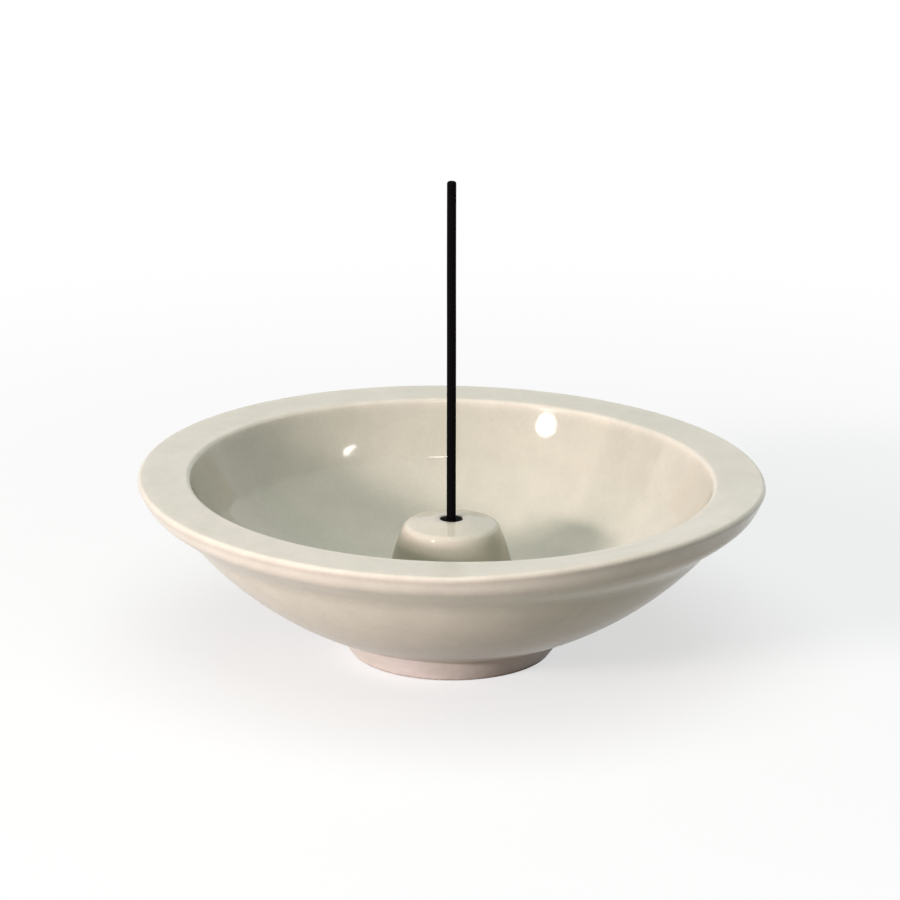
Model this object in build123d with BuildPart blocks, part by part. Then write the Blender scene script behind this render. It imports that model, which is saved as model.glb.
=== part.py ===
from build123d import *
import os
from math import atan2, degrees, radians, tan

os.makedirs("parts", exist_ok=True)

# An incense stick holder: a thrown stoneware dish on a foot ring, with a pierced socket luted to its floor
# and one slim incense stick standing in the socket.
# Sizes are in millimetres. The table is at zero height, and the upright axis runs through the stick.

# Dish, overall
rim_diameter = 135.0
dish_height = 39.0

# Lip: a flat rim whose steep outer face leans in and rolls softly under
rim_width = 11.8
rim_inner_round = 1.2
lip_top_round = 0.9
lip_face_height = 4.0
lip_face_lean = 25.0
lip_under_round = 6.5

# Outer wall: it bulges from the foot up to the hollow under the lip
neck_inset = 9.2
neck_drop = 9.6
neck_round = 20.0
belly_bulge = 2.6

# Inside: a steep upper wall that bends into a round floor
inner_wall_lean = 6.0
inner_bend_drop = 12.4
inner_bend_round = 6.0
floor_thickness = 5.8

# Foot ring, which tapers towards the table
foot_diameter = 51.4
foot_height = 5.7
foot_wall = 7.9
foot_taper = 4.2
foot_edge_round = 0.7
foot_ledge = 0.4

# Stick socket: a tapered clay boss with a slightly bulging side, a low crown and a flared blind hole
socket_base_diameter = 28.6
socket_height = 17.9
socket_taper = 4.1
socket_bulge = 0.6
socket_shoulder_round = 1.8
socket_crown_diameter = 8.0
socket_crown_drop = 1.2
socket_crown_round = 8.0
socket_seat_margin = 1.8
bore_floor_thickness = 3.9
bore_clearance = 0.25
mouth_flare = 1.3
mouth_depth = 3.0
mouth_round = 0.35

# Incense stick, a straight pressed stick with no bamboo core
stick_diameter = 2.0
stick_length = 88.9
stick_tip_round = 0.5
stick_end_chamfer = 0.15

# Places that follow from the sizes above
# The sharp corner of the rim lies just outside it, so that the rounded lip reaches the full diameter
rim_radius = rim_diameter / 2
lip_angle = radians(90 - lip_face_lean)
rim_corner_radius = rim_radius + lip_top_round * (1 / tan(lip_angle / 2) - 1)
rim_corner = (rim_corner_radius, dish_height)
lip_corner = (rim_corner_radius - lip_face_height / tan(lip_angle), dish_height - lip_face_height)
neck = (rim_radius - neck_inset, dish_height - neck_drop)
inner_edge = (rim_radius - rim_width, dish_height)
inner_bend = (rim_radius - rim_width - inner_wall_lean, dish_height - inner_bend_drop)
foot_radius = foot_diameter / 2
base_edge = (foot_radius + foot_ledge, foot_height)
floor_level = foot_height + floor_thickness
socket_base_radius = socket_base_diameter / 2
socket_top_level = floor_level + socket_height
socket_base_edge = (socket_base_radius, floor_level)
socket_shoulder = (socket_base_radius - socket_taper, socket_top_level - socket_crown_drop)
socket_crown_edge = (socket_crown_diameter / 2, socket_top_level)
seat_edge = (socket_base_radius + socket_seat_margin, floor_level)
stick_radius = stick_diameter / 2
bore_radius = stick_radius + bore_clearance
bore_floor_level = floor_level + bore_floor_thickness
bore_depth = socket_top_level - bore_floor_level
mouth_radius = bore_radius + mouth_flare
mouth_angle = 2 * degrees(atan2(mouth_flare, mouth_depth))

# Dish: one profile turned about the upright axis
with BuildPart() as dish:
    with BuildSketch(Plane.XZ) as dish_section:
        with BuildLine():
            SagittaArc(base_edge, neck, -belly_bulge)
            Polyline(neck, lip_corner, rim_corner, inner_edge, inner_bend)
            TangentArc(seat_edge, inner_bend, tangent=(1, 0))
            Polyline(seat_edge, (0, floor_level), (0, foot_height), base_edge)
        make_face()
        for corner, corner_round in (
            (neck, neck_round),
            (lip_corner, lip_under_round),
            (rim_corner, lip_top_round),
            (inner_edge, rim_inner_round),
            (inner_bend, inner_bend_round),
        ):
            fillet(dish_section.vertices().sort_by_distance(corner)[0], corner_round)
    revolve(axis=Axis.Z)
dish.part.label = "dish"
export_step(dish.part, "parts/dish.step")

# Foot ring: a low collar that the dish's flat base is luted to
with BuildPart() as foot_ring:
    with BuildSketch(Plane.XZ) as foot_section:
        with BuildLine():
            Polyline(
                (foot_radius - foot_wall, foot_height),
                (foot_radius, foot_height),
                (foot_radius - foot_taper, 0),
                (foot_radius - foot_wall, 0),
                close=True,
            )
        make_face()
        fillet(foot_section.vertices().group_by(Axis.Y)[0], foot_edge_round)
    revolve(axis=Axis.Z)
foot_ring.part.label = "foot_ring"
export_step(foot_ring.part, "parts/foot_ring.step")

# Stick socket: a tapered boss that stands on the flat middle of the dish's floor
with BuildPart() as stick_socket:
    with BuildSketch(Plane.XZ) as socket_section:
        with BuildLine():
            SagittaArc(socket_base_edge, socket_shoulder, -socket_bulge)
            Polyline(
                socket_shoulder,
                socket_crown_edge,
                (0, socket_top_level),
                (0, floor_level),
                socket_base_edge,
            )
        make_face()
        for corner, corner_round in (
            (socket_shoulder, socket_shoulder_round),
            (socket_crown_edge, socket_crown_round),
        ):
            fillet(socket_section.vertices().sort_by_distance(corner)[0], corner_round)
    revolve(axis=Axis.Z)
    with Locations((0, 0, socket_top_level)):
        CounterSinkHole(bore_radius, mouth_radius, depth=bore_depth, counter_sink_angle=mouth_angle)
    mouth_edge = stick_socket.faces().filter_by(Axis.Z).sort_by(Axis.Z)[-1].inner_wires()[0].edges()
    fillet(mouth_edge, mouth_round)
stick_socket.part.label = "stick_socket"
export_step(stick_socket.part, "parts/stick_socket.step")

# Incense stick: it stands on the bottom of the hole and lifts straight out
with BuildPart() as incense_stick:
    with BuildSketch(Plane.XY.offset(bore_floor_level)):
        Circle(stick_radius)
    extrude(amount=stick_length)
    fillet(incense_stick.edges().sort_by(Axis.Z)[-1], stick_tip_round)
    chamfer(incense_stick.edges().sort_by(Axis.Z)[0], stick_end_chamfer)
incense_stick.part.label = "incense_stick"
export_step(incense_stick.part, "parts/incense_stick.step")
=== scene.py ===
from cmath import exp, phase
from math import atan, cos, e, pi, radians, sin, sqrt, tan

import bmesh
import bpy
from bpy.props import FloatProperty, FloatVectorProperty, IntProperty, PointerProperty
from bpy.types import NodeSocket, Operator, Panel, PropertyGroup
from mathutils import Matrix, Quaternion, Vector


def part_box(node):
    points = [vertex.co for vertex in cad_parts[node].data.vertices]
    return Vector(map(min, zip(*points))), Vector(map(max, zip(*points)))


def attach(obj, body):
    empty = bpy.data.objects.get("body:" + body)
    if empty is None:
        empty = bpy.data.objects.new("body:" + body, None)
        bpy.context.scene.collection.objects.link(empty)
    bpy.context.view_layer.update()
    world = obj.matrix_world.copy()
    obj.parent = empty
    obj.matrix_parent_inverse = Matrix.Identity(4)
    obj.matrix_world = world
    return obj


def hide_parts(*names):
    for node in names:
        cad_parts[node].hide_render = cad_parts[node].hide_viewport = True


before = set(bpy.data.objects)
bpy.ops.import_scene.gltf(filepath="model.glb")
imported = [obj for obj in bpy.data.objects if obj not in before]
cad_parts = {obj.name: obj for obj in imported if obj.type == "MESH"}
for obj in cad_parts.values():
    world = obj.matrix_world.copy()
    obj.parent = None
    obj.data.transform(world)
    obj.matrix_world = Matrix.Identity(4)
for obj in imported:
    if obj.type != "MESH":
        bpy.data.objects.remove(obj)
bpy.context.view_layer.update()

bl_info = {
    "name": "Incense Stick Holder",
    "version": (1, 0, 0),
    "blender": (4, 5, 0),
    "location": "3D View > Sidebar > Holder",
    "description": "Throws a glazed dish with its foot ring and stick socket, "
    "and stands an incense stick in it",
    "category": "Add Mesh",
}

# Boxes of the solids, which the sizes below start from.
DISH_LOW, DISH_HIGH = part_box("dish")
FOOT_LOW, FOOT_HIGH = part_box("foot_ring")
SOCKET_LOW, SOCKET_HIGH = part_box("stick_socket")
STICK_LOW, STICK_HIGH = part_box("incense_stick")

# Meshes: the most triangles in a piece, gaps and steps in metres, and steps round the floor.
TRIANGLE_LIMIT = 200000
SEAM_GAP = 2e-6
WELD_GAP = 1e-6
DISH_STEP = 0.00052
FOOT_STEP = 0.0003
SOCKET_STEP = 0.0004
FLAT_STEP = 0.0012
FLOOR_SIDES = 96

# Seeds of the pieces, and what is added to them so that a piece's noises differ.
DISH_SEED = 4.0
FOOT_SEED = 11.0
SOCKET_SEED = 19.0
STICK_SEED = 27.0
SWELL_SEED = 3.7
SWAY_SEED = 8.1
STRAY_SEEDS = (1.3, 6.9)

# Metres: the hub where rings fade out, the foot's edges without turning lines, the socket's sink into the
# floor's glaze, and the height over which the stick's wave sets in.
HUB_RADIUS = 0.005
PLAIN_EDGE = 0.001
SOCKET_SINK = 0.00004
WAVE_START = 0.03

# The rim: its share of the rings' depth, the depth of its thin glaze, and the shares of its radius and
# height over which the taller lip rises.
RIM_RINGS = 0.25
RIM_GLAZE = 0.0004
BRIM = (0.83, 0.98)

# Glaze that gathers at a bend: how far it spreads, how many spreads count, and the bend per metre that
# fills it.
POOL_SPREAD = 0.0011
POOL_REACH = 4
POOL_FULL = 420.0

# Glaze of the outside: where it starts below the lip's upper edge, and the length over which it takes over.
OUTSIDE_START = 0.0005
OUTSIDE_FADE = 0.006

# Roughness: of the bowl's glaze, what is added to it elsewhere, and of foot ring, bare clay and incense.
BOWL_ROUGH = (0.05, 0.10)
RIM_SATIN = 0.16
WALL_SATIN = 0.12
SPECK_SATIN = 0.25
SOOT_AND_SHADE_SATIN = 0.7
FOOT_ROUGH = (0.32, 0.46)
CLAY_ROUGH = 0.86
INCENSE_ROUGH = (0.78, 0.95)

# How strongly the finishes mirror, the glaze inside and outside.
GLAZE_SHINE = (0.45, 0.05)
FOOT_SHINE = 0.04
INCENSE_SHINE = 0.06

# Heights of ripples, depths of ragged edges and the wiped height of the foot, in metres.
GLAZE_RIPPLE = 0.000004
FOOT_RIPPLE = 0.00004
INCENSE_RIPPLE = 0.000012
SOOT_AND_SHADE_RAGGED = 0.0004
WIPED_RAGGED = 0.0009
WIPED = (0.0004, 0.0008)

# Distances from the axis over which the floor's shadow fades out.
SHADOW = (0.10, 0.34)

# Ranges of a noise that are stretched to its full range.
MIDDLE = (0.3, 0.7)
NARROW = (0.36, 0.64)
WIDE = (0.25, 0.75)

# Noises: scale, detail, roughness and, where the piece has no seed of its own, the seed.
RING_PATCHES = (1.1, 2, 0.5)
SWELL = (0.8, 1, 0.4)
SWAY = (0.9, 1, 0.4)
STRAY = (38, 1, 0.4)
PRESSED_GRAIN = (2600, 2, 0.6)
CLOUDS = (42, 4, 0.55, 2)
FLOW = (120, 3, 0.6, 5)
MOTTLE = (150, 5, 0.6, 11)
FINE_MOTTLE = (1100, 3, 0.6, 17)
GLOSS = (75, 4, 0.6, 21)
SOOT_AND_SHADE_EDGE = (900, 3, 0.6, 31)
WAVES = (260, 2, 0.5, 41)
PEEL = (900, 2, 0.5, 47)
FOOT_CLOUDS = (130, 4, 0.6, 3)
FOOT_MOTTLE = (500, 4, 0.6, 8)
WIPED_EDGE = (220, 3, 0.6, 13)
CLAY_CLOUDS = (800, 4, 0.65, 19)
CLAY_MOTTLE = (1900, 3, 0.6, 23)
FOOT_SATIN = (160, 3, 0.5, 29)
FOOT_WAVES = (500, 3, 0.55, 37)
CLAY_WAVES = (2400, 3, 0.7, 43)
STREAKS = (2200, 4, 0.65, 3)
CRUMBS = (3800, 3, 0.7, 7)

# Spots: scale, rarity, size and seed.
FLECKS = (150, 0.945, 0.055, 4)
DUST = (430, 0.94, 0.07, 9)
GRIT = (1300, 0.8, 0.2, 6)
FOOT_FLECKS = (300, 0.93, 0.07, 2)

# Factors between which a mottle darkens and lightens a colour.
MOTTLE_SHADE = (0.955, 1.035)
FINE_SHADE = (0.975, 1.025)
FOOT_SHADE = (0.94, 1.04)
CLAY_SHADE = (0.8, 1.08)

# Lamps: degrees to the viewer's side and above the rim, distance, size, colour, and whether it is mirrored.
LAMPS = {
    "top": (20.0, 84.0, 1.3, (1.5, 1.5), (0.90, 1.0, 0.96), False),
    "key": (-48.0, 16.0, 1.3, (0.40, 0.10), (1.0, 0.885, 0.89), False),
    "left_pane": (-46.6, 28.4, 1.4, (0.22, 0.19), (1.0, 0.97, 0.93), True),
    "right_pane": (56.4, 33.9, 1.4, (0.17, 0.035), (1.0, 0.98, 0.95), True),
    "high_pane": (8.1, 46.5, 1.4, (0.26, 0.07), (1.0, 0.99, 0.97), True),
}
WHITE = (1.0, 1.0, 1.0, 1.0)


def kept(kind, **options):
    """A maker of one kind of property, each with its name, default and description."""
    def make(name, default, description):
        return kind(name=name, default=default, description=description, **options)
    return make


# Lengths and offsets are in metres, angles in radians, powers in watts, and tints are linear colours.
length = kept(FloatProperty, min=0.0, precision=5, subtype="DISTANCE", unit="LENGTH")
offset = kept(FloatProperty, precision=5, subtype="DISTANCE", unit="LENGTH")
angle = kept(FloatProperty, subtype="ANGLE", unit="ROTATION")
amount = kept(FloatProperty)
power = kept(FloatProperty, unit="POWER")
tint = kept(FloatVectorProperty, size=3, min=0.0, max=1.0, subtype="COLOR")
whole = kept(IntProperty, min=0)


# Sizes, with heights above the table, and finishes.

class DishSizes(PropertyGroup):
    """Sizes of the thrown dish"""

    rim_diameter: length("Rim Diameter", DISH_HIGH.x - DISH_LOW.x, "Across the outer edge of the lip")
    top: length("Top", DISH_HIGH.z, "Height of the rim")
    base: length("Base", DISH_LOW.z, "Height of the flat underside")
    base_diameter: length("Base Diameter", 0.0522, "Across the flat underside")
    rim_width: length("Rim Width", 0.0110, "Width of the flat rim")
    rim_inner_round: length("Rim Inner Round", 0.0012, "Rounding of the rim's inner edge")
    lip_top_round: length("Lip Top Round", 0.0009, "Rounding of the lip's upper edge")
    lip_face_height: length("Lip Face Height", 0.004, "Height of the lip's outer face")
    lip_face_lean: angle("Lip Face Lean", radians(25.0), "Inward lean of the lip's outer face")
    lip_under_round: length("Lip Under Round", 0.0065, "Rounding of the lip's lower edge")
    neck_inset: length("Neck Inset", 0.0092, "From the rim's outer edge in to the neck")
    neck_drop: length("Neck Drop", 0.0096, "Depth of the neck below the rim")
    neck_round: length("Neck Round", 0.020, "Rounding of the neck")
    belly_bulge: length("Belly Bulge", 0.0026, "Bulge of the outer wall off a cone")
    wall_lean: length("Wall Lean", 0.006, "Inward lean of the wall to its bend")
    wall_hollow: length("Wall Hollow", 0.0003, "Hollow of the inner wall off a cone")
    bend_drop: length("Bend Drop", 0.0124, "Depth of the inner bend below the rim")
    bend_round: length("Bend Round", 0.006, "Rounding of the inner bend")
    floor: length("Floor", SOCKET_LOW.z, "Height of the bowl's floor")
    seat_diameter: length("Seat Diameter", 0.0322, "Across the flat middle of the floor")
    ring_pitch: length("Ring Pitch", 0.0034, "From one throwing ring to the next")
    ring_depth: length("Ring Depth", 0.000005, "Depth of the throwing rings")
    warp: length("Warp", 0.00014, "Unevenness of the thrown wall")
    tilt: length("Tilt", 0.0008, "How far the rim dips on one side")
    lip_rise: length("Lip Rise", 0.0016, "Extra height of the lip at the front right")
    sides: whole("Sides", 264, "Steps round the dish")


class FootSizes(PropertyGroup):
    """Sizes of the foot ring"""

    diameter: length("Diameter", FOOT_HIGH.x - FOOT_LOW.x, "Across the top of the ring")
    height: length("Height", FOOT_HIGH.z - FOOT_LOW.z, "Height of the ring")
    wall: length("Wall", 0.0079, "Thickness of the ring")
    taper: length("Taper", 0.0042, "Inward lean of the outer side")
    edge_round: length("Edge Round", 0.0007, "Rounding of the standing edges")
    join: length("Join", 0.0004, "Size of the slip fillet against the dish")
    ring_pitch: length("Ring Pitch", 0.0011, "From one turning line to the next")
    ring_depth: length("Ring Depth", 0.000012, "Depth of the turning lines")
    warp: length("Warp", 0.00005, "Unevenness of the ring")
    sides: whole("Sides", 200, "Steps round the ring")


class SocketSizes(PropertyGroup):
    """Sizes of the stick socket"""

    base_diameter: length("Base Diameter", SOCKET_HIGH.x - SOCKET_LOW.x, "Across the foot of the socket")
    base: length("Base", SOCKET_LOW.z, "Height of the socket's foot")
    top: length("Top", SOCKET_HIGH.z, "Height of the socket's flat top")
    taper: length("Taper", 0.0041, "Inward lean of the side")
    bulge: length("Bulge", 0.0006, "Bulge of the side off a cone")
    shoulder_round: length("Shoulder Round", 0.0018, "Rounding of the shoulder")
    crown_diameter: length("Crown Diameter", 0.008, "Across the flat round the hole")
    crown_drop: length("Crown Drop", 0.0012, "Fall from the crown to the shoulder")
    crown_round: length("Crown Round", 0.008, "Rounding of the crown's edge")
    skirt: length("Skirt", 0.0022, "Size of the glaze fillet at the foot")
    bore_diameter: length("Bore Diameter", 0.0025, "Across the hole")
    bore_floor: length("Bore Floor", STICK_LOW.z, "Height of the hole's bottom")
    mouth_diameter: length("Mouth Diameter", 0.0051, "Across the flared mouth of the hole")
    mouth_depth: length("Mouth Depth", 0.003, "Depth of the flare")
    mouth_round: length("Mouth Round", 0.00035, "Rounding of the mouth's edge")
    ring_pitch: length("Ring Pitch", 0.0026, "From one finger ring to the next")
    ring_depth: length("Ring Depth", 0.000004, "Depth of the finger rings")
    warp: length("Warp", 0.00012, "Unevenness of the socket")
    sides: whole("Sides", 144, "Steps round the socket")


class StickSizes(PropertyGroup):
    """Sizes of the incense stick"""

    diameter: length("Diameter", STICK_HIGH.x - STICK_LOW.x, "Thickness of the stick")
    bottom: length("Bottom", STICK_LOW.z, "Height of the lower end")
    top: length("Top", STICK_HIGH.z, "Height of the tip")
    tip_round: length("Tip Round", 0.0005, "Rounding of the tip")
    end_bevel: length("End Bevel", 0.00015, "Bevel of the lower end")
    lean: offset("Lean", -0.00035, "How far right the tip leans in its hole")
    wave: length("Wave", 0.00005, "How far the stick strays")
    grain: length("Grain", 0.000012, "Height of the pressed grain")
    steps: whole("Steps", 260, "Steps along the stick")
    sides: whole("Sides", 28, "Steps round the stick")


class Finishes(PropertyGroup):
    """Colours of the glaze, clay and incense"""

    glaze_rim: tint("Glaze Rim", (0.7, 0.64, 0.546), "Thin glaze on the rim and socket's top")
    glaze_inside: tint("Glaze Inside", (0.572, 0.53, 0.445), "Thicker glaze in the bowl")
    glaze_cloud: tint("Glaze Cloud", (0.955, 0.975, 0.96), "Shade of the greener clouds")
    glaze_outside: tint("Glaze Outside", (0.795, 0.765, 0.652), "Glaze on the outer wall")
    # The lip's face tint: thin glaze, and painted light that brightens the face all round.
    glaze_lip_thin_and_painted_light: tint("Glaze Lip", (0.88, 0.84, 0.735), "Glaze drawn thin down the lip's face")
    glaze_pooled: tint("Glaze Pooled", (0.467, 0.444, 0.358), "Glaze gathered in hollows")
    glaze_thin: tint("Glaze Thin", (0.745, 0.675, 0.58), "Glaze drawn thin over edges")
    socket_shade: tint("Socket Shade", (0.903, 0.9, 0.878), "Shade of the socket's glaze")
    # Painted shade: the socket's side is tinted darker for the shade that falls on it.
    socket_side_painted_shade: tint("Socket Side", (0.735, 0.725, 0.685), "Shade of the glaze run down its side")
    speck: tint("Speck", (0.16, 0.085, 0.04), "Iron specks in the glaze")
    foot_glaze: tint("Foot Glaze", (0.93, 0.855, 0.8), "Thin satin glaze on the foot ring")
    bare_clay: tint("Bare Clay", (0.52, 0.4, 0.31), "Wiped clay on the standing face")
    clay_grit: tint("Clay Grit", (0.27, 0.19, 0.14), "Grit in the bare clay")
    soot_and_painted_shade: tint("Soot", (0.01, 0.009, 0.009), "Soot and shade in the hole")
    incense: tint("Incense", (0.0026, 0.0022, 0.0025), "Pressed charcoal incense")
    incense_dust: tint("Incense Dust", (0.0062, 0.0054, 0.0058), "Dusty grain on the stick")


class StageSizes(PropertyGroup):
    """Camera, floor and light"""

    aim_side: offset("Aim Side", -0.0004, "How far right of the axis the picture's middle lies")
    aim_height: length("Aim Height", 0.0448, "Height of the picture's middle")
    rise: angle("Rise", radians(17.9), "Camera's angle above the rim's centre")
    distance: length("Distance", 1.0866, "Camera's distance from the rim's centre")
    roll: angle("Roll", radians(0.3), "Turn about the line of sight")
    lens: amount("Lens", 202.2, "Focal length in millimetres")
    floor_radius: length("Floor Radius", 3.0, "Size of the floor")
    floor_tint: tint("Floor Tint", (0.95, 0.95, 0.95), "Pale floor")
    floor_glow: amount("Floor Glow", 0.65, "Share of the seen floor that is plain white")
    floor_bounce: tint("Floor Bounce", (0.37, 0.34, 0.32), "Light that the floor sends back up")
    room_tint: tint("Room Tint", (0.97, 1.0, 0.985), "Colour of the room's light")
    room_light: amount("Room Light", 0.08, "Strength of the room's light")
    top_power: power("Top Power", 12.9, "Wide soft light from above")
    key_power: power("Key Power", 16.8, "Low window light from the front left")
    left_pane_power: power("Left Pane Power", 1.9, "Window pane at the left")
    right_pane_power: power("Right Pane Power", 0.36, "Window pane at the right")
    high_pane_power: power("High Pane Power", 0.9, "High pane above the viewer")


class HolderSettings(PropertyGroup):
    """Everything about the holder that can be changed"""

    dish: PointerProperty(type=DishSizes)
    foot: PointerProperty(type=FootSizes)
    socket: PointerProperty(type=SocketSizes)
    stick: PointerProperty(type=StickSizes)
    finish: PointerProperty(type=Finishes)
    stage: PointerProperty(type=StageSizes)


# Node helpers, for trees of geometry and of materials alike.

def add(tree, kind, values=None, **settings):
    """A new node with its settings made and its inputs filled."""
    made = tree.nodes.new(kind)
    for name, value in settings.items():
        setattr(made, name, value)
    for name, value in (values or {}).items():
        if isinstance(name, int):
            socket = made.inputs[name]
        else:
            socket = next(one for one in made.inputs if one.name == name and one.enabled)
        if isinstance(value, NodeSocket):
            tree.links.new(value, socket)
        else:
            socket.default_value = value
    return made


def out(made, name=None):
    """One output of a node, the first in use unless it is named."""
    return next(one for one in made.outputs if one.enabled and name in (None, one.name))


def home(values):
    """The tree of the first socket among some values."""
    return next(value.id_data for value in values if isinstance(value, NodeSocket))


def maths(operation, *values):
    """The result of one sum on sockets or plain numbers."""
    return out(add(home(values), "ShaderNodeMath", dict(enumerate(values)), operation=operation))


def times(product, *factors):
    """Sockets and plain numbers multiplied in turn."""
    for factor in factors:
        product = maths("MULTIPLY", product, factor)
    return product


def plus(first, second):
    """The two added."""
    return maths("ADD", first, second)


def minus(first, second):
    """The first less the second."""
    return maths("SUBTRACT", first, second)


def vectors(operation, *values):
    """The result of one sum on vectors."""
    return out(add(home(values), "ShaderNodeVectorMath", dict(enumerate(values)), operation=operation))


def scaled(vector, by):
    """A vector times a number."""
    return out(add(vector.id_data, "ShaderNodeVectorMath", {0: vector, "Scale": by}, operation="SCALE"))


def size_of(vector):
    """The length of a vector."""
    return out(add(vector.id_data, "ShaderNodeVectorMath", {0: vector}, operation="LENGTH"), "Value")


def parts_of(vector):
    """The x, y and z of a vector."""
    return add(vector.id_data, "ShaderNodeSeparateXYZ", {0: vector}).outputs


def joined(*values):
    """A vector from its x, y and z."""
    return out(add(home(values), "ShaderNodeCombineXYZ", dict(enumerate(values))))


def graded(value, low, high, start=0.0, stop=1.0):
    """A value eased from start to stop as it goes from low to high."""
    return out(add(
        value.id_data, "ShaderNodeMapRange",
        {"Value": value, "From Min": low, "From Max": high, "To Min": start, "To Max": stop},
        interpolation_type="SMOOTHSTEP",
    ))


def noise(place, scale, detail, roughness, seed):
    """Soft noise between nought and one."""
    return out(add(
        place.id_data, "ShaderNodeTexNoise",
        {"Vector": place, "W": seed, "Scale": scale, "Detail": detail, "Roughness": roughness},
        noise_dimensions="4D",
    ))


# Profiles: lines of complex numbers, radius plus height times 1j, drawn with the clay on their left.

def run(start, stop, step):
    """Points along a straight stretch, without its end."""
    count = max(1, round(abs(stop - start) / step))
    return [start + (stop - start) * k / count for k in range(count)]


def arc(start, stop, turn, step):
    """Points along an arc that turns by that angle, positive to the left, without its end."""
    centre = start + (stop - start) / 2 * (1 + 1j / tan(turn / 2))
    count = max(2, round(abs((start - centre) * turn) / step))
    return [centre + (start - centre) * exp(1j * turn * k / count) for k in range(count)]


def bulge_turn(start, stop, bulge):
    """The angle by which an arc turns that stands so far off its chord."""
    return 4 * atan(2 * bulge / abs(stop - start))


def soften(path, corner, radius, steps=10):
    """The path with one sharp corner rounded off."""
    at = min(range(len(path)), key=lambda k: abs(path[k] - corner))
    bend = phase((path[at + 1] - path[at]) / (path[at] - path[at - 1]))
    reach = radius * abs(tan(bend / 2))
    first, last = at - 1, at + 1
    while abs(path[first] - path[at]) <= reach:
        first -= 1
    while abs(path[last] - path[at]) <= reach:
        last += 1
    into, away = path[first + 1] - path[first], path[last] - path[last - 1]
    into, away = into / abs(into), away / abs(away)
    start = path[at] + (path[first] - path[at]) / abs(path[first] - path[at]) * reach
    stop = path[at] + (path[last] - path[at]) / abs(path[last] - path[at]) * reach
    handle = radius * abs(tan(bend / 4)) * 4 / 3
    hull = (start, start + into * handle, stop - away * handle, stop)
    curve = []
    for k in range(steps + 1):
        t = k / steps
        weights = ((1 - t) ** 3, 3 * t * (1 - t) ** 2, 3 * t * t * (1 - t), t ** 3)
        curve.append(sum(weight * point for weight, point in zip(weights, hull)))
    return path[:first + 1] + curve + path[last:]


def profile_mesh(name, path, ring_share, lip, crown):
    """A mesh of the profile's points, each marked with what the throwing tree and the glaze need.

    The outside glaze runs up to the lip, a point of the path. The thin glaze of the crown reaches so far
    below the highest point, and fades out at three times that depth.
    """
    count = len(path)
    runs = [0.0]
    for before, after in zip(path, path[1:]):
        runs.append(runs[-1] + abs(after - before))
    bends = [0.0] * count
    outward = [0j] * count
    for k in range(count):
        before, after = path[max(k - 1, 0)], path[min(k + 1, count - 1)]
        way = after - before
        outward[k] = -1j * way / abs(way)
        if 0 < k < count - 1:
            bends[k] = phase((after - path[k]) / (path[k] - before))
    pools = []
    for here in runs:
        total = 0.0
        for bend, there in zip(bends, runs):
            gap = (there - here) / POOL_SPREAD
            if abs(gap) < POOL_REACH:
                total += bend * e ** (-gap * gap / 2)
        density = total / (POOL_SPREAD * sqrt(2 * pi))
        pools.append(max(-1.0, min(1.0, -density / POOL_FULL)))
    turn_over = runs[min(range(count), key=lambda k: abs(path[k] - lip))]
    outside = [max(0.0, min(1.0, (turn_over - here - OUTSIDE_START) / OUTSIDE_FADE)) for here in runs]
    top = max(point.imag for point in path)
    crest = [max(0.0, min(1.0, 1.5 - (top - point.imag) / crown / 2)) for point in path]
    mesh = bpy.data.meshes.new(name)
    mesh.from_pydata([(point.real, 0.0, point.imag) for point in path], [], [])
    push = mesh.attributes.new("push", "FLOAT_VECTOR", "POINT")
    for item, way, point in zip(push.data, outward, path):
        way *= ring_share(point) * min(1.0, point.real / HUB_RADIUS)
        item.vector = (way.real, 0.0, way.imag)
    for mark, values in (("run", runs), ("pool", pools), ("outside", outside), ("crest", crest)):
        layer = mesh.attributes.new(mark, "FLOAT", "POINT")
        layer.data.foreach_set("value", values)
    return mesh


# Geometry trees.

def new_tree(name, counts, numbers):
    """An empty geometry tree with one geometry output, and inputs for counts, numbers and a material."""
    tree = bpy.data.node_groups.new(name, "GeometryNodeTree")
    tree.is_modifier = True
    tree.interface.new_socket("Geometry", in_out="OUTPUT", socket_type="NodeSocketGeometry")
    tree.interface.new_socket("Geometry", in_out="INPUT", socket_type="NodeSocketGeometry")
    for labels, kind in ((counts, "Int"), (numbers, "Float"), (("Material",), "Material")):
        for label in labels:
            tree.interface.new_socket(label, in_out="INPUT", socket_type="NodeSocket" + kind)
    return tree, tree.nodes.new("NodeGroupInput").outputs


def close_tree(tree, geometry, material):
    """Ends a tree with its smooth shading, its real mesh and its material."""
    geometry = out(add(tree, "GeometryNodeSetShadeSmooth", {"Geometry": geometry}))
    geometry = out(add(tree, "GeometryNodeRealizeInstances", {"Geometry": geometry}))
    geometry = out(add(tree, "GeometryNodeSetMaterial", {"Geometry": geometry, "Material": material}))
    add(tree, "NodeGroupOutput", {"Geometry": geometry})


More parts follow.
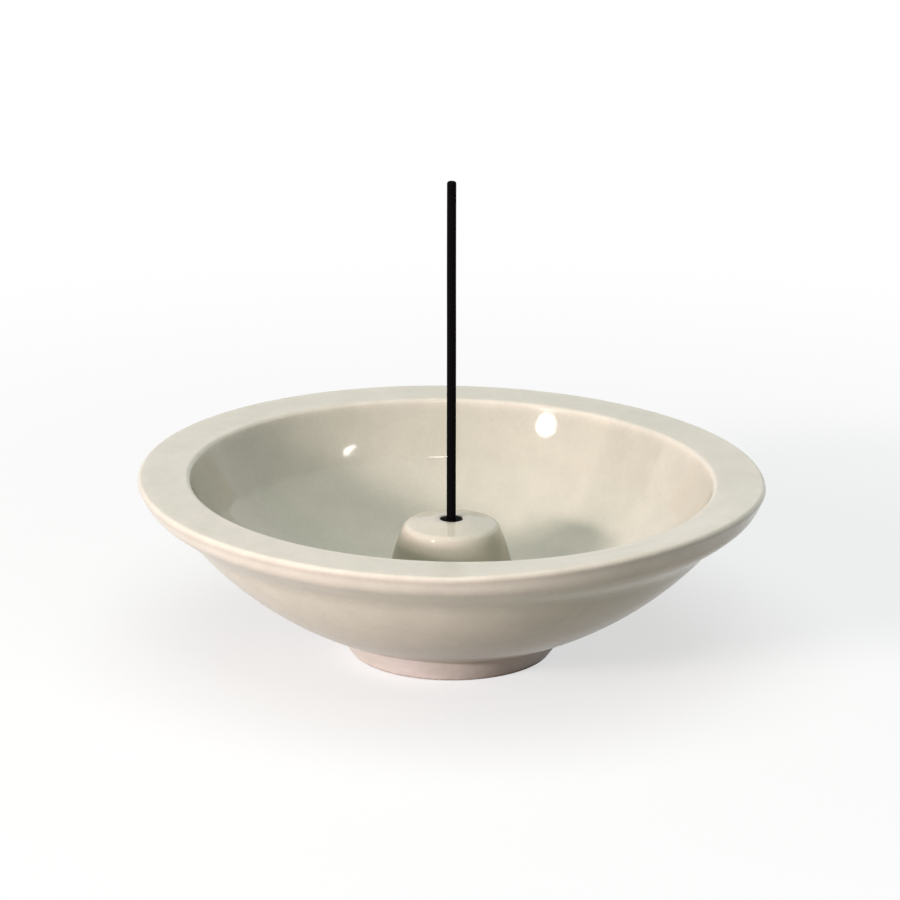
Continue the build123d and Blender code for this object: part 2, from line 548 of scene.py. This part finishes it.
def thrown_form_tree():
    """A tree that turns a profile about the upright axis, with the rings and warp of wheel work."""
    tree, given = new_tree(
        "Thrown Form", ("Sides",),
        ("Ring Pitch", "Ring Depth", "Warp", "Tilt", "Lip Rise", "Radius", "Top", "Seed"),
    )
    profile = given["Geometry"]
    count = out(add(tree, "GeometryNodeAttributeDomainSize", {"Geometry": profile}), "Point Count")
    columns = plus(given["Sides"], 1)
    grid = out(add(tree, "GeometryNodeMeshGrid", {"Vertices X": columns, "Vertices Y": count}), "Mesh")
    index = out(add(tree, "GeometryNodeInputIndex"))
    column = maths("FLOOR", maths("DIVIDE", index, count))
    row = minus(index, times(column, count))
    turn = times(maths("DIVIDE", column, given["Sides"]), 2 * pi)
    across, along = maths("COSINE", turn), maths("SINE", turn)

    def read(value, kind):
        return out(add(
            tree, "GeometryNodeSampleIndex", {"Geometry": profile, "Value": value, "Index": row},
            data_type=kind, domain="POINT",
        ))

    def mark(name, kind="FLOAT"):
        return read(out(add(tree, "GeometryNodeInputNamedAttribute", {"Name": name}, data_type=kind)), kind)

    # Rings follow a spiral along the profile and come and go in patches.
    place = read(out(add(tree, "GeometryNodeInputPosition")), "FLOAT_VECTOR")
    travelled = mark("run")
    spiral = plus(times(maths("DIVIDE", travelled, given["Ring Pitch"]), 2 * pi), turn)
    where = joined(across, along, times(travelled, 90.0))
    patchy = graded(noise(where, *RING_PATCHES, given["Seed"]), *MIDDLE, 0.15, 1.0)
    ring = times(maths("SINE", spiral), patchy, given["Ring Depth"])
    place = vectors("ADD", place, scaled(mark("push", "FLOAT_VECTOR"), ring))

    # The wall swells and sways more the higher and farther out it is, and dips to the right.
    radius, _, height = parts_of(place)
    reach = maths("DIVIDE", radius, given["Radius"])
    lift = maths("DIVIDE", height, given["Top"])
    round_about = joined(across, along, times(height, 14.0))
    swell = noise(round_about, *SWELL, plus(given["Seed"], SWELL_SEED))
    sway = noise(round_about, *SWAY, plus(given["Seed"], SWAY_SEED))
    swell = times(minus(swell, 0.9), given["Warp"])
    sway = times(minus(sway, 0.5), times(given["Warp"], 2.0))
    dip = times(across, given["Tilt"], -1.0)
    rise = times(plus(sway, dip), reach, lift)

    # The lip stands taller in the front right quarter.
    quarter = times(maths("MAXIMUM", across, 0.0), maths("MINIMUM", along, 0.0))
    brim = times(graded(reach, *BRIM), graded(lift, *BRIM))
    rise = plus(rise, times(quarter, brim, times(given["Lip Rise"], -2.0)))
    radius = plus(radius, times(swell, reach, lift))
    final = joined(times(radius, across), times(radius, along), plus(height, rise))
    geometry = grid
    for name in ("pool", "outside", "crest"):
        geometry = out(add(
            tree, "GeometryNodeStoreNamedAttribute",
            {"Geometry": geometry, "Name": name, "Value": mark(name)}, data_type="FLOAT", domain="POINT",
        ))
    geometry = out(add(tree, "GeometryNodeSetPosition", {"Geometry": geometry, "Position": final}))
    geometry = out(add(tree, "GeometryNodeMergeByDistance", {"Geometry": geometry, "Distance": SEAM_GAP}))
    close_tree(tree, geometry, given["Material"])
    return tree


def pressed_stick_tree():
    """A tree that draws a slim stick along an upright line, with rounded tip, slight wave and grain."""
    tree, given = new_tree(
        "Pressed Stick", ("Steps", "Sides"),
        ("Bottom", "Top", "Diameter", "Tip Round", "End Bevel", "Lean", "Wave", "Straight To", "Grain",
         "Seed"),
    )
    ends = {"Start": (0.0, 0.0, 0.0), "End": (0.0, 0.0, 1.0)}
    line = out(add(tree, "GeometryNodeCurvePrimitiveLine", ends))
    line = out(add(tree, "GeometryNodeResampleCurve", {"Curve": line, "Count": given["Steps"]}))

    # Points lie closer together towards both ends.
    part = maths("DIVIDE", out(add(tree, "GeometryNodeInputIndex")), minus(given["Steps"], 1))
    ease = maths("COSINE", times(part, pi))
    ease = times(minus(1.0, ease), 0.5)
    span = minus(given["Top"], given["Bottom"])
    height = plus(given["Bottom"], times(span, ease))
    free = graded(height, given["Straight To"], plus(given["Straight To"], WAVE_START))
    sway = times(free, times(given["Wave"], 2.0))
    spot = joined(0.0, 0.0, height)
    strays = []
    for extra in STRAY_SEEDS:
        drift = noise(spot, *STRAY, plus(given["Seed"], extra))
        strays.append(times(minus(drift, 0.5), sway))
    strays[0] = plus(strays[0], times(given["Lean"], ease))
    path = joined(*strays, height)
    line = out(add(tree, "GeometryNodeSetPosition", {"Geometry": line, "Position": path}))

    # The tip is rounded and the lower end is bevelled.
    radius = times(given["Diameter"], 0.5)
    tip = given["Tip Round"]
    height = parts_of(out(add(tree, "GeometryNodeInputPosition")))[2]
    below = maths("MAXIMUM", minus(tip, minus(given["Top"], height)), 0.0)
    crown = minus(times(tip, tip), times(below, below))
    crown = maths("SQRT", maths("MAXIMUM", crown, 0.0))
    upper = plus(minus(radius, tip), crown)
    lower = plus(minus(radius, given["End Bevel"]), minus(height, given["Bottom"]))
    girth = maths("MINIMUM", upper, lower)
    ring = out(add(tree, "GeometryNodeCurvePrimitiveCircle", {"Resolution": given["Sides"], "Radius": 1.0}))
    tube = out(add(
        tree, "GeometryNodeCurveToMesh",
        {"Curve": line, "Profile Curve": ring, "Scale": girth, "Fill Caps": True},
    ))

    # The grain is drawn out along the stick.
    where = vectors("MULTIPLY", out(add(tree, "GeometryNodeInputPosition")), (1.0, 1.0, 0.12))
    grain = noise(where, *PRESSED_GRAIN, given["Seed"])
    bump = times(minus(grain, 1.0), given["Grain"])
    push = scaled(out(add(tree, "GeometryNodeInputNormal")), bump)
    tube = out(add(tree, "GeometryNodeSetPosition", {"Geometry": tube, "Offset": push}))
    close_tree(tree, tube, given["Material"])
    return tree


def stood(name, data):
    """A new object in the scene."""
    made = bpy.data.objects.new(name, data)
    bpy.context.scene.collection.objects.link(made)
    return made


def made_by(name, mesh, tree, **inputs):
    """An object whose tree has been run and turned into a plain, closed mesh that faces outwards."""
    piece = stood(name, mesh)
    modifier = piece.modifiers.new(tree.name, "NODES")
    modifier.node_group = tree
    wanted = {label.replace("_", " ").title(): value for label, value in inputs.items()}
    for item in tree.interface.items_tree:
        if item.in_out == "INPUT" and item.name in wanted:
            modifier[item.identifier] = wanted.pop(item.name)
    if wanted:
        raise RuntimeError(f"the tree {tree.name} has no input for {sorted(wanted)}")
    ready = piece.evaluated_get(bpy.context.evaluated_depsgraph_get())
    solid = bpy.data.meshes.new_from_object(ready)
    piece.modifiers.remove(modifier)
    piece.data = solid
    bpy.data.meshes.remove(mesh)
    solid.name = name
    clay = bmesh.new()
    clay.from_mesh(solid)
    bmesh.ops.remove_doubles(clay, verts=clay.verts, dist=WELD_GAP)
    bmesh.ops.recalc_face_normals(clay, faces=clay.faces)
    leaks = sum(not edge.is_manifold for edge in clay.edges)
    triangles = sum(len(face.verts) - 2 for face in clay.faces)
    if clay.calc_volume(signed=True) < 0:
        bmesh.ops.reverse_faces(clay, faces=clay.faces)
    clay.to_mesh(solid)
    clay.free()
    if leaks or not triangles or triangles > TRIANGLE_LIMIT:
        raise RuntimeError(f"{name} came out with {leaks} open edges and {triangles} triangles")
    return piece


def thrown(name, mesh, sizes, seed, radius, top, material, tilt=0.0, lip_rise=0.0):
    """A piece thrown from its profile's mesh, with its own rings and warp."""
    return made_by(
        name, mesh, thrown_form_tree(), sides=sizes.sides, ring_pitch=sizes.ring_pitch,
        ring_depth=sizes.ring_depth, warp=sizes.warp, tilt=tilt, lip_rise=lip_rise, radius=radius, top=top,
        seed=seed, material=material,
    )


def placed(piece, body, node):
    """Ties a piece to the body that it moves with, and hides the solid that it stands for."""
    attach(piece, body)
    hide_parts(node)


# Materials.

def blank(data):
    """The emptied node tree of a new material or world."""
    data.use_nodes = True
    data.node_tree.nodes.clear()
    return data.node_tree


def new_material(name):
    """An empty material with its shader wired to the output."""
    material = bpy.data.materials.new(name)
    tree = blank(material)
    shader = tree.nodes.new("ShaderNodeBsdfPrincipled")
    add(tree, "ShaderNodeOutputMaterial", {"Surface": shader.outputs["BSDF"]})
    place = add(tree, "ShaderNodeTexCoord").outputs["Object"]
    return material, tree, shader, out(add(tree, "ShaderNodeMapping", {"Vector": place}))


def finished(shader, colour, roughness, height, ripple):
    """Links a shader's colour, its roughness and the bump of a height that ripples so far."""
    tree = shader.id_data
    bump = add(tree, "ShaderNodeBump", {"Height": height, "Strength": 1.0, "Distance": ripple})
    for name, value in (("Base Color", colour), ("Roughness", roughness), ("Normal", out(bump))):
        tree.links.new(value, shader.inputs[name])


def rgba(colour):
    """A colour with a full alpha."""
    return (*colour, 1.0)


def mixed(part, first, second, blend="MIX"):
    """Two colours mixed by a share of the second."""
    values = (part, first, second)
    tree = home(values)
    made = add(tree, "ShaderNodeMix", data_type="RGBA", blend_type=blend, clamp_factor=True)
    for socket, value in zip((made.inputs[0], made.inputs[6], made.inputs[7]), values):
        if isinstance(value, NodeSocket):
            tree.links.new(value, socket)
        else:
            socket.default_value = rgba(value) if socket.type == "RGBA" else value
    return made.outputs[2]


def shaded(colour, mottle, low, high):
    """A colour made darker or lighter by a mottle between two factors."""
    return scaled(colour, graded(mottle, *WIDE, low, high))


def attribute(tree, name):
    """A number kept on the mesh."""
    return add(tree, "ShaderNodeAttribute", attribute_name=name).outputs["Fac"]


def specks(place, scale, rarity, size, seed):
    """A mask of small round spots in a few cells of a loose grid."""
    cells = add(
        place.id_data, "ShaderNodeTexVoronoi",
        {"Vector": place, "W": seed, "Scale": scale, "Randomness": 1.0}, voronoi_dimensions="4D",
    )
    lot, girth, _ = add(place.id_data, "ShaderNodeSeparateColor", {0: cells.outputs["Color"]}).outputs
    chosen = maths("GREATER_THAN", lot, rarity)
    edge = times(plus(girth, 0.35), size)
    spot = graded(maths("DIVIDE", cells.outputs["Distance"], edge), 0.6, 1.0, 1.0, 0.0)
    return times(spot, chosen)


def glaze_material(name, finish, satin, mouth=None):
    """Cream glaze with clouds, pooling, mottle and specks.

    It is glossy, so much more satin at its crest, and sooted round a hole with a mouth of that radius; the
    hole is painted near black as soot and painted shade, and the socket's side is darkened with painted
    shade.
    """
    material, tree, shader, place = new_material(name)
    crest, outside, pool = (attribute(tree, mark) for mark in ("crest", "outside", "pool"))
    colour = mixed(crest, finish.glaze_inside, finish.glaze_rim)
    colour = mixed(outside, colour, finish.glaze_outside)
    # A band down the lip's outer face is lighter: thin glaze, and painted light.
    band = times(outside, minus(1.0, outside), 4.0)
    colour = mixed(band, colour, finish.glaze_lip_thin_and_painted_light)
    clouds = graded(noise(place, *CLOUDS), *NARROW)
    colour = mixed(clouds, colour, finish.glaze_cloud, "MULTIPLY")
    uneven = graded(noise(place, *FLOW), *MIDDLE, 0.25, 0.8)
    pooled = times(maths("MAXIMUM", pool, 0.0), uneven)
    colour = mixed(pooled, colour, finish.glaze_pooled)
    thin = times(maths("MAXIMUM", times(pool, -1.0), 0.0), uneven)
    colour = mixed(thin, colour, finish.glaze_thin)
    colour = shaded(colour, noise(place, *MOTTLE), *MOTTLE_SHADE)
    colour = shaded(colour, noise(place, *FINE_MOTTLE), *FINE_SHADE)
    fleck = specks(place, *FLECKS)
    dust = specks(place, *DUST)
    colour = mixed(times(fleck, 0.75), colour, finish.speck)
    colour = mixed(times(dust, 0.30), colour, finish.speck)
    gloss = graded(noise(place, *GLOSS), *MIDDLE, *BOWL_ROUGH)
    for mask, rough in ((crest, satin), (outside, WALL_SATIN), (fleck, SPECK_SATIN)):
        gloss = plus(gloss, times(mask, rough))
    if mouth:
        # On the socket the top keeps its tint and the side is darkened with painted shade.
        shade = mixed(crest, finish.socket_side_painted_shade, finish.socket_shade)
        colour = mixed(1.0, colour, shade, "MULTIPLY")
        x, y, _ = parts_of(place)
        from_axis = size_of(joined(x, y, 0.0))
        from_axis = plus(from_axis, times(minus(noise(place, *SOOT_AND_SHADE_EDGE), 0.5), SOOT_AND_SHADE_RAGGED))
        smoke = graded(from_axis, mouth, mouth * 1.7, 0.16, 0.0)
        # Inside the mouth the hole is painted near black: soot, and painted shade down the bore.
        soot_and_painted_shade = graded(from_axis, mouth * 0.93, mouth * 1.03, 1.0, 0.0)
        colour = mixed(maths("MAXIMUM", smoke, soot_and_painted_shade), colour, finish.soot_and_painted_shade)
        gloss = plus(gloss, times(soot_and_painted_shade, SOOT_AND_SHADE_SATIN))
    height = plus(noise(place, *WAVES), times(noise(place, *PEEL), 0.12))
    height = plus(height, times(fleck, 0.5))
    finished(shader, colour, gloss, height, GLAZE_RIPPLE)
    shine = graded(outside, 0.0, 0.6, *GLAZE_SHINE)
    tree.links.new(shine, shader.inputs["Specular IOR Level"])
    return material


def foot_material(name, finish):
    """Thin satin glaze on the foot ring, wiped back to gritty bare clay where it stands."""
    material, tree, shader, place = new_material(name)
    _, _, height = parts_of(place)
    clouds = graded(noise(place, *FOOT_CLOUDS), *MIDDLE)
    colour = mixed(times(clouds, 0.55), finish.foot_glaze, finish.glaze_outside)
    colour = shaded(colour, noise(place, *FOOT_MOTTLE), *FOOT_SHADE)
    edge = plus(height, times(minus(noise(place, *WIPED_EDGE), 0.5), WIPED_RAGGED))
    bare = graded(edge, *WIPED, 1.0, 0.0)
    clay = mixed(noise(place, *CLAY_CLOUDS), finish.bare_clay, finish.foot_glaze)
    clay = shaded(clay, noise(place, *CLAY_MOTTLE), *CLAY_SHADE)
    clay = mixed(times(specks(place, *GRIT), 0.6), clay, finish.clay_grit)
    colour = mixed(bare, colour, clay)
    colour = mixed(times(specks(place, *FOOT_FLECKS), 0.6), colour, finish.speck)
    satin = graded(noise(place, *FOOT_SATIN), *MIDDLE, *FOOT_ROUGH)
    rough = add(tree, "ShaderNodeMix", {0: bare, 2: satin, 3: CLAY_ROUGH}, data_type="FLOAT")
    waves = plus(noise(place, *FOOT_WAVES), times(bare, noise(place, *CLAY_WAVES)))
    finished(shader, colour, rough.outputs[0], waves, FOOT_RIPPLE)
    shader.inputs["Specular IOR Level"].default_value = FOOT_SHINE
    return material


def incense_material(name, finish):
    """Matt black pressed incense with a fine grain along the stick."""
    material, _, shader, place = new_material(name)
    drawn = vectors("MULTIPLY", place, (1.0, 1.0, 0.06))
    streaks = noise(drawn, *STREAKS)
    crumbs = noise(place, *CRUMBS)
    dusty = times(graded(streaks, 0.45, 0.75), graded(crumbs, 0.35, 0.7))
    colour = mixed(dusty, finish.incense, finish.incense_dust)
    rough = graded(crumbs, *MIDDLE, *INCENSE_ROUGH)
    height = plus(times(streaks, 0.6), crumbs)
    finished(shader, colour, rough, height, INCENSE_RIPPLE)
    shader.inputs["Specular IOR Level"].default_value = INCENSE_SHINE
    return material


# Profiles of the pieces.

def dish_path(sizes):
    """The dish's profile, from the middle of the underside round the lip to the middle of the floor."""
    step = DISH_STEP
    edge = sizes.rim_diameter / 2
    base = complex(sizes.base_diameter / 2, sizes.base)
    neck = complex(edge - sizes.neck_inset, sizes.top - sizes.neck_drop)
    lip_angle = pi / 2 - sizes.lip_face_lean
    rim = complex(edge + sizes.lip_top_round * (1 / tan(lip_angle / 2) - 1), sizes.top)
    lip = rim - sizes.lip_face_height * complex(1 / tan(lip_angle), 1)
    inner = complex(edge - sizes.rim_width, sizes.top)
    bend = complex(inner.real - sizes.wall_lean, sizes.top - sizes.bend_drop)
    seat = complex(sizes.seat_diameter / 2, sizes.floor)
    middle = complex(0, sizes.floor)
    floor_turn = 2 * phase(bend - seat)
    path = run(complex(0, sizes.base), base, FLAT_STEP)
    path += arc(base, neck, bulge_turn(base, neck, sizes.belly_bulge), step)
    path += run(neck, lip, step) + run(lip, rim, step / 2) + run(rim, inner, step)
    path += arc(inner, bend, -bulge_turn(inner, bend, sizes.wall_hollow), step)
    path += arc(bend, seat, -floor_turn, step)
    path += run(seat, middle, FLAT_STEP) + [middle]
    for corner, radius in (
        (neck, sizes.neck_round), (lip, sizes.lip_under_round), (rim, sizes.lip_top_round),
        (inner, sizes.rim_inner_round), (bend, sizes.bend_round),
    ):
        path = soften(path, corner, radius)
    return path


def foot_path(sizes):
    """The foot ring's profile, once round from its inner top edge."""
    step = FOOT_STEP
    outer, inner = sizes.diameter / 2, sizes.diameter / 2 - sizes.wall
    shoulder = complex(outer, sizes.height)
    stand = complex(outer - sizes.taper, 0)
    heel = complex(inner, 0)
    start = complex(inner, sizes.height + sizes.join / 4)
    flare = complex(outer + sizes.join, sizes.height + sizes.join / 4)
    path = run(start, heel, step) + run(heel, stand, step) + run(stand, shoulder, step)
    path += run(shoulder, flare, step / 3) + run(flare, start, FLAT_STEP) + [start]
    path = soften(path, heel, sizes.edge_round)
    path = soften(path, stand, sizes.edge_round)
    return soften(path, shoulder, sizes.join * 0.8)


def socket_path(sizes):
    """The socket's profile, from the middle of its foot over the shoulder and down into the hole."""
    step = SOCKET_STEP
    sunk = complex(0, sizes.base - SOCKET_SINK)
    foot = complex(sizes.base_diameter / 2, sunk.imag)
    hem = complex(sizes.base_diameter / 2 + sizes.skirt, sunk.imag)
    shoulder = complex(sizes.base_diameter / 2 - sizes.taper, sizes.top - sizes.crown_drop)
    crown = complex(sizes.crown_diameter / 2, sizes.top)
    mouth = complex(sizes.mouth_diameter / 2, sizes.top)
    throat = complex(sizes.bore_diameter / 2, sizes.top - sizes.mouth_depth)
    well = complex(sizes.bore_diameter / 2, sizes.bore_floor)
    bottom = complex(0, sizes.bore_floor)
    rise = phase(shoulder - foot) - bulge_turn(foot, shoulder, sizes.bulge) / 2
    skirt_top = foot + exp(1j * rise) * sizes.skirt
    path = run(sunk, hem, FLAT_STEP) + arc(hem, skirt_top, rise - pi, step / 2)
    path += arc(skirt_top, shoulder, 2 * (phase(shoulder - skirt_top) - rise), step)
    path += run(shoulder, crown, step) + run(crown, mouth, step / 2) + run(mouth, throat, step / 2)
    path += run(throat, well, step * 2) + run(well, bottom, step) + [bottom]
    path = soften(path, shoulder, sizes.shoulder_round, steps=14)
    path = soften(path, crown, sizes.crown_round, steps=6)
    return soften(path, mouth, sizes.mouth_round, steps=8)


# Operators, one for each piece and one for the stage.

class HOLDER_OT_throw_dish(Operator):
    """Throw and glaze the dish"""

    bl_idname = "holder.throw_dish"
    bl_label = "Throw Dish"

    def execute(self, context):
        settings = context.scene.incense_holder
        sizes = settings.dish
        edge = sizes.rim_diameter / 2

        def ring_share(point):
            return RIM_RINGS if point.imag > sizes.top - sizes.lip_face_height else 1.0

        lip = complex(edge, sizes.top)
        mesh = profile_mesh("dish_profile", dish_path(sizes), ring_share, lip, RIM_GLAZE)
        glaze = glaze_material("cream_glaze", settings.finish, RIM_SATIN)
        piece = thrown(
            "glazed_dish", mesh, sizes, DISH_SEED, edge, sizes.top, glaze, sizes.tilt, sizes.lip_rise,
        )
        placed(piece, "holder", "dish")
        return {"FINISHED"}


class HOLDER_OT_turn_foot_ring(Operator):
    """Turn the foot ring"""

    bl_idname = "holder.turn_foot_ring"
    bl_label = "Turn Foot Ring"

    def execute(self, context):
        settings = context.scene.incense_holder
        sizes = settings.foot
        path = foot_path(sizes)

        def ring_share(point):
            return 1.0 if PLAIN_EDGE < point.imag < sizes.height - PLAIN_EDGE else 0.0

        mesh = profile_mesh("foot_profile", path, ring_share, path[0], PLAIN_EDGE)
        clay = foot_material("satin_foot", settings.finish)
        piece = thrown("turned_foot_ring", mesh, sizes, FOOT_SEED, sizes.diameter / 2, sizes.height, clay)
        placed(piece, "holder", "foot_ring")
        return {"FINISHED"}


class HOLDER_OT_form_socket(Operator):
    """Form and glaze the pierced socket"""

    bl_idname = "holder.form_socket"
    bl_label = "Form Socket"

    def execute(self, context):
        settings = context.scene.incense_holder
        sizes = settings.socket
        path = socket_path(sizes)

        def ring_share(point):
            return 1.0 if point.real > sizes.mouth_diameter else 0.0

        mesh = profile_mesh("socket_profile", path, ring_share, path[0], sizes.crown_drop)
        glaze = glaze_material("cream_glaze_sooted", settings.finish, 0.0, sizes.mouth_diameter / 2)
        piece = thrown("glazed_socket", mesh, sizes, SOCKET_SEED, sizes.base_diameter / 2, sizes.top, glaze)
        placed(piece, "holder", "stick_socket")
        return {"FINISHED"}


class HOLDER_OT_press_stick(Operator):
    """Press the incense stick and stand it in the socket"""

    bl_idname = "holder.press_stick"
    bl_label = "Press Stick"

    def execute(self, context):
        settings = context.scene.incense_holder
        sizes = settings.stick
        piece = made_by(
            "black_incense_stick", bpy.data.meshes.new("stick_line"), pressed_stick_tree(),
            bottom=sizes.bottom, top=sizes.top, diameter=sizes.diameter, tip_round=sizes.tip_round,
            end_bevel=sizes.end_bevel, lean=sizes.lean, wave=sizes.wave, grain=sizes.grain,
            straight_to=settings.socket.top, steps=sizes.steps, sides=sizes.sides,
            seed=STICK_SEED, material=incense_material("black_incense", settings.finish),
        )
        placed(piece, "stick", "incense_stick")
        return {"FINISHED"}


class HOLDER_OT_set_stage(Operator):
    """Set the pale floor, the soft light and the camera"""

    bl_idname = "holder.set_stage"
    bl_label = "Set Stage"

    def execute(self, context):
        scene = context.scene
        stage = scene.incense_holder.stage
        scene.view_settings.view_transform = "Standard"
        self.lay_floor(stage)
        self.light_room(scene, stage)
        rim = Vector((0.0, 0.0, scene.incense_holder.dish.top))
        for name, lamp in LAMPS.items():
            self.hang_lamp(name, rim, getattr(stage, name + "_power"), *lamp)
        self.set_camera(scene, stage, rim)
        return {"FINISHED"}

    def lay_floor(self, stage):
        """A wide floor that keeps the shadow near the dish and fades to plain white far off."""
        mesh = bpy.data.meshes.new("floor")
        disc = bmesh.new()
        bmesh.ops.create_circle(disc, cap_ends=True, segments=FLOOR_SIDES, radius=stage.floor_radius)
        disc.to_mesh(mesh)
        disc.free()
        stood("floor", mesh)
        material = bpy.data.materials.new("pale_floor")
        tree = blank(material)
        far = size_of(add(tree, "ShaderNodeTexCoord").outputs["Object"])
        fade = graded(far, *SHADOW, stage.floor_glow, 1.0)
        seen = self.seen_share(tree)
        pale = out(add(tree, "ShaderNodeBsdfDiffuse", {"Color": rgba(stage.floor_tint)}))
        bounce = out(add(tree, "ShaderNodeBsdfDiffuse", {"Color": rgba(stage.floor_bounce)}))
        white = out(add(tree, "ShaderNodeEmission", {"Color": WHITE, "Strength": 1.0}))
        open_floor = out(add(tree, "ShaderNodeMixShader", {0: fade, 1: pale, 2: white}))
        lit = out(add(tree, "ShaderNodeMixShader", {0: seen, 1: bounce, 2: open_floor}))
        clear = out(add(tree, "ShaderNodeBsdfTransparent"))
        behind = add(tree, "ShaderNodeNewGeometry").outputs["Backfacing"]
        surface = out(add(tree, "ShaderNodeMixShader", {0: behind, 1: lit, 2: clear}))
        add(tree, "ShaderNodeOutputMaterial", {"Surface": surface})
        mesh.materials.append(material)

    def seen_share(self, tree):
        """One for rays from the camera and for mirrored or clear ones, nought for the rest."""
        path = add(tree, "ShaderNodeLightPath").outputs
        seen = maths("MAXIMUM", path["Is Camera Ray"], path["Is Glossy Ray"])
        return maths("MAXIMUM", seen, path["Is Transmission Ray"])

    def light_room(self, scene, stage):
        """Soft light all round, white where it is seen."""
        world = bpy.data.worlds.new("soft_room")
        tree = blank(world)
        room = {"Color": rgba(stage.room_tint), "Strength": stage.room_light}
        room = out(add(tree, "ShaderNodeBackground", room))
        white = out(add(tree, "ShaderNodeBackground", {"Color": WHITE, "Strength": 1.0}))
        surface = out(add(tree, "ShaderNodeMixShader", {0: self.seen_share(tree), 1: room, 2: white}))
        add(tree, "ShaderNodeOutputWorld", {"Surface": surface})
        scene.world = world

    def hang_lamp(self, name, aim, power, side, rise, distance, size, colour, mirrored):
        """A soft lamp beside the viewer and above the rim, an oval pane where the glaze mirrors it."""
        data = bpy.data.lights.new(name, "AREA")
        data.shape = "ELLIPSE" if mirrored else "RECTANGLE"
        data.size, data.size_y = size
        data.energy = power
        data.color = colour
        lamp = stood(name, data)
        side, rise = radians(side), radians(rise)
        way = Vector((sin(side) * cos(rise), -cos(side) * cos(rise), sin(rise)))
        lamp.location = aim + way * distance
        lamp.rotation_mode = "QUATERNION"
        lamp.rotation_quaternion = way.to_track_quat("Z", "Y")
        lamp.visible_camera = False
        lamp.visible_glossy = mirrored

    def set_camera(self, scene, stage, rim):
        """The camera at the viewing angle of the picture."""
        data = bpy.data.cameras.new("camera")
        data.lens = stage.lens
        camera = stood("camera", data)
        back = Vector((0.0, -cos(stage.rise), sin(stage.rise)))
        camera.location = rim + back * stage.distance
        look = Vector((stage.aim_side, 0.0, stage.aim_height)) - camera.location
        camera.rotation_mode = "QUATERNION"
        camera.rotation_quaternion = look.to_track_quat("-Z", "Y") @ Quaternion((0.0, 0.0, 1.0), stage.roll)
        scene.camera = camera


STEPS = (
    HOLDER_OT_throw_dish, HOLDER_OT_turn_foot_ring, HOLDER_OT_form_socket, HOLDER_OT_press_stick,
    HOLDER_OT_set_stage,
)


class HOLDER_PT_sidebar(Panel):
    """Lists the steps that make the holder"""

    bl_label = "Incense Stick Holder"
    bl_space_type = "VIEW_3D"
    bl_region_type = "UI"
    bl_category = "Holder"

    def draw(self, context):
        for step in STEPS:
            self.layout.operator(step.bl_idname)


CLASSES = (
    DishSizes, FootSizes, SocketSizes, StickSizes, Finishes, StageSizes, HolderSettings, *STEPS,
    HOLDER_PT_sidebar,
)


def register():
    for one in CLASSES:
        bpy.utils.register_class(one)
    bpy.types.Scene.incense_holder = PointerProperty(type=HolderSettings)


def unregister():
    del bpy.types.Scene.incense_holder
    for one in reversed(CLASSES):
        bpy.utils.unregister_class(one)


def main():
    register()
    for step in STEPS:
        group, name = step.bl_idname.split(".")
        getattr(getattr(bpy.ops, group), name)()


if __name__ == "__main__":
    main()
